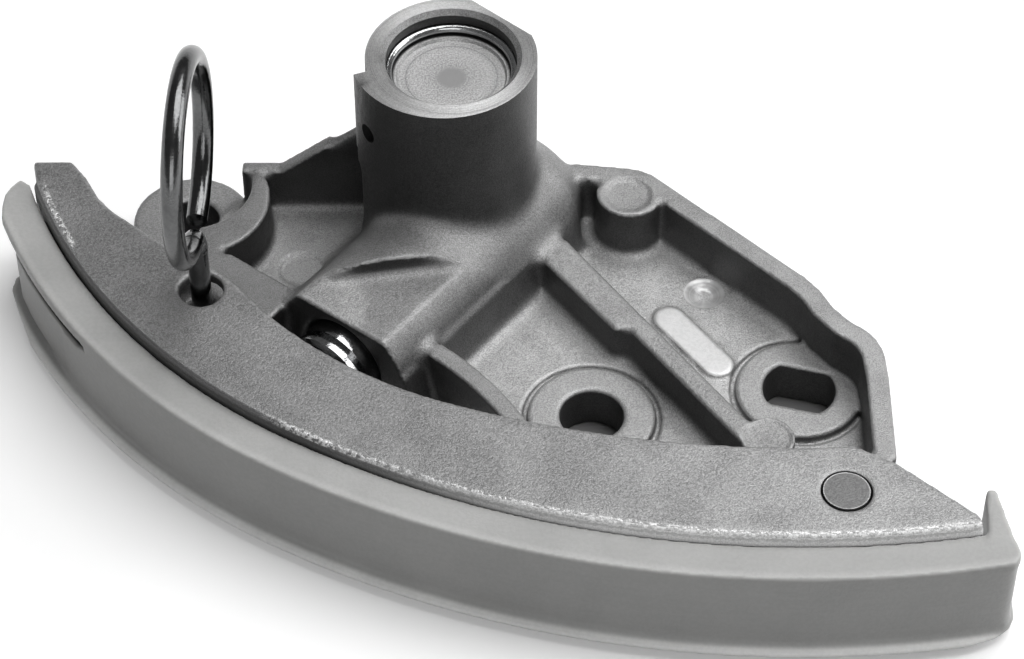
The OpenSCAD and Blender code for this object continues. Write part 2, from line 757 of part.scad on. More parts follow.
module lining() {
  color("#c9c9c4")
    difference() {
      union() {
        // upper flange with its rounded left end
        translate([0, 0, lining_top - slit_drop])
          linear_extrude(slit_drop)
            intersection() {
              lining_band();
              polygon([left_at(197.8, 0.91), left_at(199.2, -0.16), left_at(227.4, -0.78), [0, -10],
                       pivot + [12.9, -1.5], pivot + [15.8, -5.2], pivot + [16.05, -6.6],
                       pivot + [15.5, -7.6], pivot + [14, -8.6], pivot + [13.8, -43.5], [-80, -60],
                       left_at(218.8, 42.22), left_at(204.8, 4.84),
                       left_at(202.3, 4.29), left_at(200.3, 3.56), left_at(199.2, 2.9),
                       left_at(198.4, 2.04)]);
            }
        // body with the running face, thinner towards its left end
        translate([0, 0, lining_base])
          linear_extrude(lining_top - lining_base - slit_drop + 0.1)
            intersection() {
              lining_band();
              polygon([left_at(202.2, -1.2), left_at(227.4, -0.78), [0, -10], pivot + [12.9, -1.5],
                       pivot + [15.8, -5.2], pivot + [16.05, -6.6], pivot + [15.5, -7.6],
                       pivot + [14, -8.6], pivot + [13.8, -43.5], [-80, -60], left_at(218.8, 42.22),
                       left_at(217, 4.6), left_at(212, 3.5), left_at(207.5, 3.05), left_at(203.6, 2.95),
                       left_at(202.2, 2.4)]);
            }
        // lower lip and the hook under the arm
        translate([0, 0, lining_base])
          linear_extrude(lip_t)
            intersection() {
              difference() {
                lining_area(lip_w);
                arm_area(-lining_hook_w);
              }
              polygon([left_at(200.9, 3.4), left_at(200.7, 2.57), left_at(205.7, -5.33),
                       left_at(230.2, -3.42), [0, -13], pivot + [-3.7, -3], pivot + [16.5, -3],
                       pivot + [16.5, -6.1], pivot + [15.9, -7.4], pivot + [14.5, -8.6],
                       pivot + [11.3, -9.8], pivot + [11.3, -43.5], [-46, -60], left_at(209.8, 5.41),
                       left_at(204.5, 4.64), left_at(202.2, 4.34)]);
            }
        translate([0, 0, lining_base])
          linear_extrude(arm_base - lining_base)
            intersection() {
              difference() {
                arm_area(lining_gap + 0.5);
                arm_area(-lining_hook_w);
              }
              polygon([left_at(203.2, 5.51), left_at(207.4, -4.44), left_at(230.2, -3.42), [0, -13],
                       pivot + [-9.7, 0.5], pivot + [-9.7, -43.5], [-80, -60]]);
            }
        // end hook behind the arm's tip, falling to the upper face on the chain's side
        difference() {
          translate([0, 0, lining_base])
            linear_extrude(lining_top - lining_base + 2)
              polygon([pivot + [13.05, -4.3], pivot + [13.3, 0.7], pivot + [14.3, 0.7],
                       pivot + [15.75, -5.6], pivot + [14.7, -6.7], pivot + [13.2, -6.4]]);
          translate([pivot_x, pivot_y - hook_foot, lining_top])
            rotate([hook_slope, 0, 0])
              translate([0, -10, 0])
                cube([30, 30, 10]);
        }
      }
      // slit between upper edge and running face at the left end
      translate([0, 0, lining_top - slit_drop - slit_h])
        linear_extrude(slit_h)
          difference() {
            polygon([left_at(192.7, 10.71), left_at(196.1, -4.8), left_at(220.6, 0.34),
                     left_at(220.6, 13.53), left_at(212.5, 22.41)]);
            lining_area(-slit_depth);
          }
    }
}

module pivot_pin() {
  color("#8a8c8f")
    translate([pivot_x, pivot_y, pivot_base])
      difference() {
        cylinder(d = pivot_d, h = arm_top - pivot_base);
        translate([0, 0, -eps])
          cylinder(r1 = 1.4, r2 = 0.2, h = 0.8);
      }
}

// Round joint where two lengths of the ring pin's wire meet
module wire_joint() {
  sphere(d = wire_d + 0.06, $fn = 32);
}

module lock_pin() {
  color("#c8cacc")
    translate([lock_x, lock_y, ring_z])
      rotate([0, 0, ring_dir])
        rotate([90, 0, 0]) {
          rotate([0, 0, wire_end])
            rotate_extrude(angle = bend_a + 359.8 - wire_end)
              translate([ring_r, 0])
                circle(d = wire_d, $fn = 32);
          translate(ring_r * [cos(bend_a), sin(bend_a), 0])
            rotate([90, 0, bend_a])
              wire_joint();
          translate([-bend_r, bend_z, 0])
            rotate([0, 0, 1])
              rotate_extrude(angle = bend_a - 182)
                translate([bend_r, 0])
                  circle(d = wire_d, $fn = 32);
          translate([0, bend_z, 0])
            rotate([90, 0, 0])
              wire_joint();
          translate([0, leg_z - ring_z + 0.5, 0])
            rotate([-90, 0, 0])
              cylinder(d = wire_d, h = bend_z - leg_z + ring_z - 0.53, $fn = 32);
          translate([0, leg_z - ring_z, 0])
            rotate([-90, 0, 0])
              cylinder(d1 = wire_d - 0.7, d2 = wire_d, h = 0.5, $fn = 32);
        }
}

housing();
reservoir_plug();
plug_snap_ring();
piston();
piston_spring();
valve_seat();
check_ball();
valve_cage();
arm();
lining();
pivot_pin();
lock_pin();
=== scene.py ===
import json
import math

import bmesh
import bpy
import numpy as np
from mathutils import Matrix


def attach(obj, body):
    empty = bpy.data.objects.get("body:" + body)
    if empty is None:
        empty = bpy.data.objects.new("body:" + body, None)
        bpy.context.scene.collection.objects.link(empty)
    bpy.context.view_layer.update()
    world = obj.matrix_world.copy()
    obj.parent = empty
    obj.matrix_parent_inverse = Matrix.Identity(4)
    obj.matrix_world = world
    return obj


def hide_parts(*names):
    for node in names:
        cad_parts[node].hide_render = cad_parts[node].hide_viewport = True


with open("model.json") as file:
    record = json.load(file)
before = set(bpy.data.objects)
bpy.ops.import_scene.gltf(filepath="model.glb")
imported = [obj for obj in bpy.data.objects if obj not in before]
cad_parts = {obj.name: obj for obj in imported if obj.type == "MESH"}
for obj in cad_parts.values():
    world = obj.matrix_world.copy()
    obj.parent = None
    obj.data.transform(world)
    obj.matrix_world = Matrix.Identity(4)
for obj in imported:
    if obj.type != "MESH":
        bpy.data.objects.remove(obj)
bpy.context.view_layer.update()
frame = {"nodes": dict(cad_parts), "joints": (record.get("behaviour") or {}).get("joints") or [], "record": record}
nodes = frame["nodes"]
scene = bpy.context.scene

MM = 0.001


def level_places(rows):
    """Level places in millimetres, by name, of the record's rows that have one."""
    return {row["name"]: tuple(round(v / MM, 2) for v in row["pos_m"][:2]) for row in rows if "pos_m" in row}


# Places from the frame, then places and sizes as in part.scad, all in millimetres
mounts = level_places(frame["record"]["mounts"])
BOLT = mounts["round_bolt_hole"]
SLOT = mounts["slotted_bolt_hole"]
LUG = mounts["lug_bolt_hole"]
PIVOT = level_places(frame["joints"])["arm_swing"]
BOSS_Z = 5.0
RESERVOIR = (-14.0, 25.6)
RESERVOIR_Z = 29.8
VENT_R = 1.03
VENT_Z = 24.0
VENT_TURN = math.radians(211.0)
MOUTH_FLAT = (-27.0, 7.2)
DIMPLE = (11.9, 17.0)
PAD_START = (8.2, 13.2)
PAD_TURN = math.radians(-53.5)
PAD_LENGTH = 7.8
PAD_R = 1.62
# the arm's outer edge is two blended arcs, and the lining runs along it
LEFT_ARC = (2.6, 46.3)
LEFT_R = 63.7
RIGHT_ARC = (19.654, 75.251)
RIGHT_R = 97.3
ARC_JOINT_X = -29.73
LINING_T = 4.1

# Softened meshes: cells and the fading of zones in millimetres, and bends as shares of a cell
VOXEL = 0.22
ZONE_FADE = 0.6
CORNER_BEND = 0.03
EDGE_BEND = 0.12
MOST_TRIANGLES = 180000
SMOOTH_ANGLE = math.radians(32.0)

# Camera at the photograph's viewing angle, for an image of 1024 x 659
IMAGE_WIDTH = 1024.0
FOCAL_PIXELS = 3265.0
PITCH = 47.5
cam_data = bpy.data.cameras.new("camera")
cam_data.sensor_fit = "HORIZONTAL"
cam_data.sensor_width = 36.0
cam_data.lens = cam_data.sensor_width * FOCAL_PIXELS / IMAGE_WIDTH
cam_data.clip_start = 0.01
cam_data.clip_end = 50.0
camera = bpy.data.objects.new("camera", cam_data)
camera.location = (-0.007947, -0.213707, 0.250751)
camera.rotation_euler = (math.radians(90.0 - PITCH), 0.0, 0.0)
scene.collection.objects.link(camera)
scene.camera = camera
scene.view_settings.view_transform = "Standard"


class Tree:
    """Shader nodes of a material or world, with short ways to add those that this script needs."""

    def __init__(self, owner):
        owner.use_nodes = True
        self.tree = owner.node_tree
        self.tree.nodes.clear()

    def new(self, kind):
        return self.tree.nodes.new("ShaderNode" + kind)

    def put(self, socket, value):
        """Links a socket to another one, or gives it a value."""
        if isinstance(value, bpy.types.NodeSocket):
            self.tree.links.new(value, socket)
        else:
            socket.default_value = value

    def fill(self, sockets, values):
        for socket, value in zip(sockets, values):
            self.put(socket, value)

    def math(self, op, a, b=0.0):
        n = self.new("Math")
        n.operation = op
        self.fill(n.inputs, (a, b))
        return n.outputs[0]

    def fold(self, op, terms):
        total = terms[0]
        for term in terms[1:]:
            total = self.math(op, total, term)
        return total

    def add(self, *terms):
        return self.fold("ADD", terms)

    def times(self, *terms):
        return self.fold("MULTIPLY", terms)

    def minus(self, a, b):
        return self.math("SUBTRACT", a, b)

    def below(self, a, b):
        return self.math("LESS_THAN", a, b)

    def above(self, a, b):
        return self.math("GREATER_THAN", a, b)

    def hypot(self, a, b):
        return self.math("SQRT", self.add(self.times(a, a), self.times(b, b)))

    def split(self, vector):
        n = self.new("SeparateXYZ")
        self.put(n.inputs[0], vector)
        return n.outputs[0], n.outputs[1], n.outputs[2]

    def join(self, x, y, z):
        n = self.new("CombineXYZ")
        self.fill(n.inputs, (x, y, z))
        return n.outputs[0]

    def distance(self, place, centre):
        n = self.new("VectorMath")
        n.operation = "DISTANCE"
        self.put(n.inputs[0], place)
        self.put(n.inputs[1], centre)
        return n.outputs["Value"]

    def ramp(self, value, low, high, to_low=0.0, to_high=1.0, kind="LINEAR"):
        """Takes low..high to to_low..to_high, and stays level outside it."""
        n = self.new("MapRange")
        n.interpolation_type = kind
        self.fill(n.inputs, (value, low, high, to_low, to_high))
        return n.outputs[0]

    def span(self, value, low, high, to_low=0.0, to_high=1.0):
        """A ramp with soft ends."""
        return self.ramp(value, low, high, to_low, to_high, "SMOOTHSTEP")

    def spread(self, noise, to_low, to_high):
        """A noise or mask of 0 to 1, taken to other values."""
        return self.span(noise, 0.0, 1.0, to_low, to_high)

    def blend(self, fac, a, b):
        n = self.new("Mix")
        n.data_type = "FLOAT"
        self.fill((n.inputs[0], n.inputs[2], n.inputs[3]), (fac, a, b))
        return n.outputs[0]

    def seen(self):
        """1 for the rays that show the background: the camera's, mirrored and through glass."""
        path = self.new("LightPath")
        kinds = ("Is Camera Ray", "Is Glossy Ray", "Is Transmission Ray")
        return self.fold("MAXIMUM", [path.outputs[kind] for kind in kinds])


# Procedural materials. Places inside them are in millimetres of the part's own frame.
class Look(Tree):
    """One material with a Principled shader, and its base tone, roughness and relief so far."""

    def __init__(self, name, metal=0.0):
        self.mat = bpy.data.materials.new(name)
        super().__init__(self.mat)
        self.bsdf = self.new("BsdfPrincipled")
        self.put(self.new("OutputMaterial").inputs[0], self.bsdf.outputs[0])
        self.metal = metal
        scale = self.new("VectorMath")
        scale.operation = "SCALE"
        self.put(scale.inputs["Scale"], 1 / MM)
        self.put(scale.inputs[0], self.new("TexCoord").outputs["Object"])
        self.place = scale.outputs[0]
        self.x, self.y, self.z = self.split(self.place)
        _, self.back, self.up = self.split(self.new("NewGeometry").outputs["Normal"])

    def away(self, centre):
        """Distance from an upright axis."""
        return self.distance(self.join(self.x, self.y, 0.0), (*centre, 0.0))

    def heading(self, centre):
        """Direction from an upright axis, as the two parts of a unit vector, with the distance."""
        d = self.away(centre)
        ux = self.math("DIVIDE", self.minus(self.x, centre[0]), d)
        uy = self.math("DIVIDE", self.minus(self.y, centre[1]), d)
        return ux, uy, d

    def along(self, start, turn):
        """How far a place is from an upright axis in a level direction."""
        dx, dy = self.minus(self.x, start[0]), self.minus(self.y, start[1])
        return self.add(self.times(dx, math.cos(turn)), self.times(dy, math.sin(turn)))

    def past_edge(self, grow=0.0):
        """Distance outside the arm's outer edge, or outside that edge grown by so much."""
        left = self.minus(self.away(LEFT_ARC), LEFT_R + grow)
        right = self.minus(self.away(RIGHT_ARC), RIGHT_R + grow)
        return self.blend(self.below(self.x, ARC_JOINT_X), right, left)

    def noise(self, scale, detail, at=None):
        """Noise from 0 to 1 with so many cells to the millimetre."""
        n = self.new("TexNoise")
        self.put(n.inputs["Vector"], at or self.place)
        n.inputs["Scale"].default_value = scale
        n.inputs["Detail"].default_value = detail
        n.inputs["Roughness"].default_value = 0.6
        return self.span(n.outputs[0], 0.3, 0.7)

    def edge(self):
        """Convex edges, as measured on the softened meshes."""
        n = self.new("Attribute")
        n.attribute_name = "edge"
        return n.outputs["Fac"]

    def level_face(self, centre, radius, level, slack):
        """Level faces near an upright axis, about one height."""
        return self.times(self.below(self.away(centre), radius), self.above(self.z, level - slack),
                          self.below(self.z, level + slack), self.span(self.up, 0.7, 0.95))

    def patch(self, mask, base, rough, height=None, metal=None):
        """Another surface where the mask is 1."""
        self.base = self.blend(mask, self.base, base)
        self.rough = self.blend(mask, self.rough, rough)
        if height is not None:
            self.height = self.blend(mask, self.height, height)
        if metal is not None:
            self.metal = self.blend(mask, self.metal, metal)

    def done(self, depth, strength, tint=(1.0, 1.0, 1.0)):
        """Links the tone, roughness and relief to the shader; depth is in millimetres."""
        colour = self.new("CombineColor")
        for socket, gain in zip(colour.inputs, tint):
            self.put(socket, self.base if gain == 1.0 else self.times(self.base, gain))
        self.put(self.bsdf.inputs["Base Color"], colour.outputs[0])
        self.put(self.bsdf.inputs["Roughness"], self.rough)
        self.put(self.bsdf.inputs["Metallic"], self.metal)
        bump = self.new("Bump")
        bump.inputs["Strength"].default_value = strength
        bump.inputs["Distance"].default_value = depth * MM
        self.put(bump.inputs["Height"], self.height)
        self.put(self.bsdf.inputs["Normal"], bump.outputs[0])
        return self.mat


def cast_skin(name, top, side, metal):
    """Die-cast aluminium: grainy skin, painted shade on upright walls, painted light to the right, edges worn
    bright with painted highlights.
    """
    k = Look(name, metal)
    k.fine = k.noise(7.5, detail=2.0)
    k.grain = k.noise(2.6, detail=3.0)
    mottle = k.noise(0.17, detail=4.0)
    shade = k.add(k.spread(k.fine, 0.76, 1.24), k.spread(k.grain, -0.09, 0.09),
                  k.spread(mottle, -0.10, 0.10))
    # painted shade: upright walls take a darker tone than tops, lighter where they face the back
    wall = k.span(k.back, 0.05, 0.5, side, 0.17)
    tone = k.blend(k.span(k.up, 0.05, 0.92), wall, top)
    # painted light: paler to the right, darker to the left
    painted_light_right = k.span(k.x, -52.0, 30.0, 0.84, 1.16)
    k.base = k.times(tone, shade, painted_light_right)
    k.rough = k.spread(k.grain, 0.42, 0.54)
    relief = k.add(k.times(k.fine, 0.5), k.times(k.grain, 0.6))
    k.height = k.times(relief, k.span(k.up, 0.0, 0.8, 0.35, 1.0))
    # edges worn bright, and painted highlights on the edges that face up
    wear_and_glint = k.times(k.span(k.edge(), 0.15, 0.6), k.span(k.grain, 0.2, 0.7, 0.35, 1.0),
                     k.span(k.up, 0.1, 0.5))
    k.patch(k.times(wear_and_glint, 0.75), base=0.42, rough=0.38)
    return k


def turned_top(k):
    """The reservoir's turned upper face, with a painted sheen that runs round it, lighter at the front and back.
    """
    ux, _, d = k.heading(RESERVOIR)
    lines = k.noise(15.0, detail=1.0, at=k.join(d, 0.0, 0.0))
    broad = k.noise(2.4, detail=1.0, at=k.join(d, 4.0, 0.0))
    # painted sheen: lighter at the front and back, darker at the sides
    painted_sheen = k.spread(k.times(ux, ux), 1.18, 0.82)
    tone = k.add(k.spread(lines, 0.36, 0.48), k.spread(broad, -0.03, 0.03), k.spread(k.fine, -0.06, 0.06))
    top = k.level_face(RESERVOIR, radius=13.0, level=RESERVOIR_Z, slack=0.4)
    k.patch(top, k.times(tone, painted_sheen), rough=0.30, height=k.times(lines, 0.7))


def paint_vent_shade(k):
    off = k.along(RESERVOIR, VENT_TURN + math.pi / 2)
    d = k.hypot(off, k.minus(k.z, VENT_Z))
    # painted shade inside the vent's bore
    k.patch(k.times(k.below(d, VENT_R), k.below(k.x, RESERVOIR[0])), base=0.012, rough=0.8)


def turned_dimple(k):
    ux, uy, d = k.heading(DIMPLE)
    # painted radial highlights on the bright turned dimple
    painted_rays = k.noise(1.3, detail=1.0, at=k.join(ux, uy, 3.0))
    lines = k.noise(7.0, detail=1.0, at=k.join(d, 9.0, 0.0))
    tone = k.add(k.spread(painted_rays, 0.72, 0.94), k.spread(lines, -0.06, 0.06))
    mask = k.times(k.span(d, 2.2, 2.0), k.above(k.z, 3.6), k.below(k.z, 4.9))
    k.patch(mask, tone, rough=0.38, height=k.times(k.fine, 0.2))


def bare_pad(k):
    along = k.along(PAD_START, PAD_TURN)
    across = k.along(PAD_START, PAD_TURN + math.pi / 2)
    over = k.minus(along, k.math("MINIMUM", k.math("MAXIMUM", along, 0.0), PAD_LENGTH))
    mask = k.times(k.below(k.hypot(over, across), PAD_R), k.above(k.z, 4.7), k.below(k.z, 5.1))
    k.patch(mask, k.spread(k.grain, 0.62, 0.68), rough=0.42, height=k.times(k.fine, 0.3))


def housing_look():
    k = cast_skin("cast_housing", top=0.36, side=0.075, metal=0.5)
    # painted light and shade: a lighter floor and darker faces above it, a shaded left end, and painted shade on
    # the reservoir wall that grows to the left
    painted_floor_light = k.span(k.z, 5.5, 9.0, 1.12, 0.79)
    shaded_left_end = k.span(k.x, -45.0, -15.0, 0.88, 1.0)
    k.base = k.times(k.base, k.times(painted_floor_light, shaded_left_end))
    wall = k.times(k.span(k.up, 0.5, 0.2), k.span(k.z, 11.0, 14.0))
    k.base = k.times(k.base, k.blend(wall, 1.0, k.span(k.x, -23.0, -3.0, 0.6, 1.35)))
    # milled boss faces: even, lighter and finely grained
    for centre, radius, gain in ((BOLT, 6.5, 1.0), (SLOT, 6.5, 1.0), (LUG, 6.3, 0.73)):
        face = k.level_face(centre, radius, level=BOSS_Z, slack=0.15)
        tone = k.spread(k.fine, 0.30 * gain, 0.47 * gain)
        k.patch(face, tone, rough=0.46, height=k.times(k.fine, 0.6))
    # cleaner skin on the flat over the mouth
    clean = k.times(k.span(k.away(MOUTH_FLAT), 6.0, 3.5), k.span(k.up, 0.6, 0.9),
                    k.span(k.z, 10.5, 11.5))
    k.base = k.times(k.base, k.spread(clean, 1.0, 1.4))
    turned_top(k)
    paint_vent_shade(k)
    turned_dimple(k)
    bare_pad(k)
    return k.done(depth=0.06, strength=0.5)


def arm_look():
    k = cast_skin("cast_arm", top=0.27, side=0.10, metal=0.6)
    inside = k.minus(0.0, k.past_edge())
    chips = k.noise(2.3, detail=3.0)
    # bright flank along the outer edge, with painted shade towards its left end and a dull line in it
    flank = k.times(k.below(inside, 0.35), k.above(k.z, 11.3))
    line = k.math("ABSOLUTE", k.minus(k.add(k.z, k.spread(chips, -0.12, 0.12)), 12.3))
    bright = k.span(k.x, -34.0, 8.0)
    worn = k.times(k.spread(bright, 0.16, 0.95), k.span(line, 0.08, 0.26, 0.72, 1.0))
    tone = k.times(worn, k.spread(k.fine, 0.85, 1.1))
    k.patch(flank, tone, rough=0.42, metal=k.spread(bright, 0.5, 0.0))
    # rough bright scuffs along the upper edge, and a row of them near the left end
    strip = k.times(k.span(inside, 0.75, 0.4), k.above(k.z, 12.6), k.span(k.x, -33.0, -29.0))
    scuffs = k.times(strip, k.span(chips, 0.2, 0.6))
    k.patch(scuffs, k.spread(k.fine, 0.45, 0.75), rough=0.42, height=k.times(chips, 1.5))
    row = k.times(k.span(inside, 0.45, 0.65), k.span(inside, 1.3, 1.05), k.above(k.z, 12.8),
                  k.span(k.x, -56.4, -55.8), k.span(k.x, -52.0, -52.6))
    marks = k.times(row, k.span(chips, 0.35, 0.65))
    k.patch(marks, base=0.62, rough=0.36, height=k.times(chips, 3.0))
    # painted shade in the gap round the pivot pin
    k.patch(k.below(k.away(PIVOT), 2.5), base=0.02, rough=0.6)
    return k.done(depth=0.06, strength=0.5)


def turned_look(name, centre, tone, rough, contrast):
    """Turned metal disc with rings round its axis, speckled."""
    k = Look(name, 0.7)
    k.d = k.away(centre)
    fine = k.noise(5.5, detail=2.0)
    lines = k.noise(3.6, detail=2.0, at=k.join(k.d, 0.0, 0.0))
    broad = k.noise(0.6, detail=1.0, at=k.join(k.d, 2.2, 0.0))
    shade = k.add(k.spread(lines, 1 - contrast, 1 + contrast), k.spread(broad, -contrast, contrast),
                  k.spread(fine, -0.2, 0.2))
    k.base = k.times(shade, tone)
    k.rough = k.spread(fine, rough - 0.05, rough + 0.05)
    k.height = k.add(k.times(lines, 0.5), fine)
    return k


def plug_look():
    k = turned_look("turned_plug", RESERVOIR, tone=0.46, rough=0.46, contrast=0.05)
    # smooth middle left by the turning tool, a fine ring, and painted shade on the step at the rim
    k.patch(k.span(k.d, 1.95, 1.1), base=0.34, rough=0.46, height=0.5)
    hair = k.span(k.math("ABSOLUTE", k.minus(k.d, 4.6)), 0.11, 0.03)
    k.patch(k.times(hair, 0.4), base=0.2, rough=0.46)
    k.patch(k.span(k.d, 5.65, 5.95), base=0.03, rough=0.4)
    return k.done(depth=0.04, strength=0.4)


def head_look():
    k = turned_look("pivot_steel", PIVOT, tone=0.17, rough=0.5, contrast=0.02)
    # painted highlight on the rim of the head
    k.patch(k.times(k.span(k.d, 2.1, 2.2), k.span(k.up, 0.6, 0.9)), base=0.34, rough=0.3)
    return k.done(depth=0.04, strength=0.4)


def steel_look(name, tone, rough):
    """Bright or dull steel with faint scratches and smudges."""
    k = Look(name, 1.0)
    smudge = k.noise(0.26, detail=3.0)
    mark = k.noise(2.6, detail=2.0)
    k.base = k.times(k.add(k.spread(smudge, 0.88, 1.08), k.spread(mark, -0.06, 0.06)), tone)
    k.rough = k.spread(smudge, rough - 0.02, rough + 0.05)
    k.height = mark
    return k.done(depth=0.02, strength=0.3, tint=(0.99, 1.0, 1.01))


def plastic_look(name, tone, rough):
    """Pale moulded plastic, slightly translucent, with a soft uneven sheen."""
    k = Look(name)
    k.bsdf.inputs["Subsurface Weight"].default_value = 0.15
    k.bsdf.inputs["Subsurface Radius"].default_value = (1.0, 0.95, 0.85)
    k.bsdf.inputs["Subsurface Scale"].default_value = 0.0012
    k.bsdf.inputs["IOR"].default_value = 1.5
    cloud = k.noise(0.09, detail=3.0)
    fine = k.noise(2.4, detail=2.0)
    rub = k.noise(0.5, detail=2.0, at=k.join(k.times(k.x, 0.15), k.y, k.times(k.z, 3.0)))
    shade = k.add(k.spread(cloud, 0.95, 1.05), k.spread(fine, -0.025, 0.025),
                  k.spread(rub, -0.012, 0.012))
    shade = k.times(shade, k.span(k.x, -58.0, 38.0, 1.07, 0.93))
    k.base = k.times(shade, tone)
    k.rough = k.spread(cloud, rough - 0.06, rough + 0.06)
    k.height = k.add(fine, k.times(cloud, 2.0))
    # painted highlights along convex edges
    k.patch(k.times(k.span(k.edge(), 0.2, 0.7), 0.6), tone * 1.35, rough)
    # painted light on the thin lower lip, and a painted highlight that makes the upper rim a little paler
    out = k.past_edge(LINING_T)
    lip = k.times(k.span(out, 0.1, 0.75), k.span(k.z, 2.3, 1.9))
    k.patch(lip, k.times(shade, tone * 2.25), rough)
    rim = k.times(k.span(out, -1.1, -0.5), k.span(k.z, 11.3, 11.6))
    k.patch(k.times(rim, 0.5), k.times(shade, tone * 1.25), rough)
    # painted shade inside the slit at the left end
    slit = k.times(k.span(out, -0.25, -0.5), k.above(k.z, k.add(k.times(out, 1.05), 8.95)),
                   k.below(k.z, 10.25), k.below(k.x, -50.1))
    k.patch(slit, base=0.06, rough=0.6)
    return k.done(depth=0.03, strength=0.35, tint=(1.0, 1.0, 0.985))


looks = {
    "housing": housing_look(),
    "arm": arm_look(),
    "lining": plastic_look("lining_plastic", tone=0.39, rough=0.42),
    "reservoir_plug": plug_look(),
    "plug_snap_ring": steel_look("ring_wire", tone=0.45, rough=0.20),
    "piston": steel_look("piston_steel", tone=0.45, rough=0.14),
    "piston_spring": steel_look("spring_wire", tone=0.45, rough=0.30),
    "valve_seat": steel_look("seat_steel", tone=0.45, rough=0.35),
    "check_ball": steel_look("ball_steel", tone=0.70, rough=0.08),
    "valve_cage": steel_look("cage_sheet", tone=0.40, rough=0.38),
    "pivot_pin": head_look(),
    "lock_pin": steel_look("pin_wire", tone=0.13, rough=0.17),
}
for name, mat in looks.items():
    node = nodes[name]
    node.data.materials.clear()
    node.data.materials.append(mat)


# Softened castings: the CAD solid with cast radii on its edges and fillets in its corners.
# A zone is an upright cylinder: x, y, radius, low, high, in millimetres.
def zone_weight(co, zones):
    """1 inside zones, fading to 0 round them."""
    inside = np.zeros(len(co))
    for cx, cy, radius, low, high in zones:
        gap = np.hypot(co[:, 0] / MM - cx, co[:, 1] / MM - cy) - radius
        gap = np.maximum(gap, np.maximum(low - co[:, 2] / MM, co[:, 2] / MM - high))
        inside = np.maximum(inside, np.clip(1.0 - gap / ZONE_FADE, 0.0, 1.0))
    return inside


def zones_along(centre, radius, first, last, count, size, low, high):
    """Zones spread along an upright arc, with angles in degrees."""
    cx, cy = centre
    turns = np.radians(np.linspace(first, last, count))
    return [(cx + radius * math.cos(a), cy + radius * math.sin(a), size, low, high) for a in turns]


def vertex_places(mesh):
    co = np.empty(len(mesh.vertices) * 3)
    mesh.vertices.foreach_get("co", co)
    return co.reshape(-1, 3)


def edge_ends(mesh):
    ends = np.empty(len(mesh.edges) * 2, dtype=np.int64)
    mesh.edges.foreach_get("vertices", ends)
    return ends.reshape(-1, 2)


def shade_smooth(mesh):
    mesh.polygons.foreach_set("use_smooth", np.ones(len(mesh.polygons), dtype=bool))


def evaluated_mesh(obj):
    """New mesh of an object with its modifiers applied."""
    return bpy.data.meshes.new_from_object(obj.evaluated_get(bpy.context.evaluated_depsgraph_get()))


def voxel_copy(name):
    """Mesh of even small faces over a node's solid."""
    mesh = nodes[name].data.copy()
    bm = bmesh.new()
    bm.from_mesh(mesh)
    bmesh.ops.remove_doubles(bm, verts=bm.verts, dist=1e-6)
    bm.to_mesh(mesh)
    bm.free()
    raw = bpy.data.objects.new(name + "_raw", mesh)
    scene.collection.objects.link(raw)
    grid = raw.modifiers.new("grid", "REMESH")
    grid.mode = "VOXEL"
    grid.voxel_size = VOXEL * MM
    fine = evaluated_mesh(raw)
    bpy.data.objects.remove(raw)
    return fine


def cut_at(mesh, level, above):
    """The part of a mesh above or below a level, closed at the cut."""
    bm = bmesh.new()
    bm.from_mesh(mesh)
    bmesh.ops.remove_doubles(bm, verts=bm.verts, dist=1e-7)
    everything = bm.verts[:] + bm.edges[:] + bm.faces[:]
    cut = bmesh.ops.bisect_plane(bm, geom=everything, plane_co=(0, 0, level * MM), plane_no=(0, 0, 1),
                                 clear_inner=above, clear_outer=not above)
    rim = [part for part in cut["geom_cut"] if isinstance(part, bmesh.types.BMEdge)]
    bmesh.ops.triangle_fill(bm, edges=rim, use_beauty=True, normal=(0, 0, -1 if above else 1))
    return bm


def exact_above(name, soft, level):
    """Keeps the softened mesh up to a level, and puts the CAD's own faces above it."""
    upper = cut_at(nodes[name].data, level, True)
    exact = bpy.data.meshes.new(name + "_exact")
    upper.to_mesh(exact)
    upper.free()
    whole = cut_at(soft, level, False)
    whole.from_mesh(exact)
    whole.to_mesh(soft)
    whole.free()
    bpy.data.meshes.remove(exact)
    shade_smooth(soft)
    soft.set_sharp_from_angle(angle=SMOOTH_ANGLE)
    # the cut is sharp all round, so that its hidden caps don't bend the wall's shading
    at_cut = np.abs(vertex_places(soft)[:, 2] - level * MM) < 1e-7
    sharp = np.empty(len(soft.edges), dtype=bool)
    soft.edges.foreach_get("use_edge_sharp", sharp)
    soft.edges.foreach_set("use_edge_sharp", sharp | at_cut[edge_ends(soft)].all(axis=1))


def rounds(width):
    """Rounds of smoothing that spread over about so many millimetres."""
    return int(round((2.0 * width / VOXEL) ** 2))


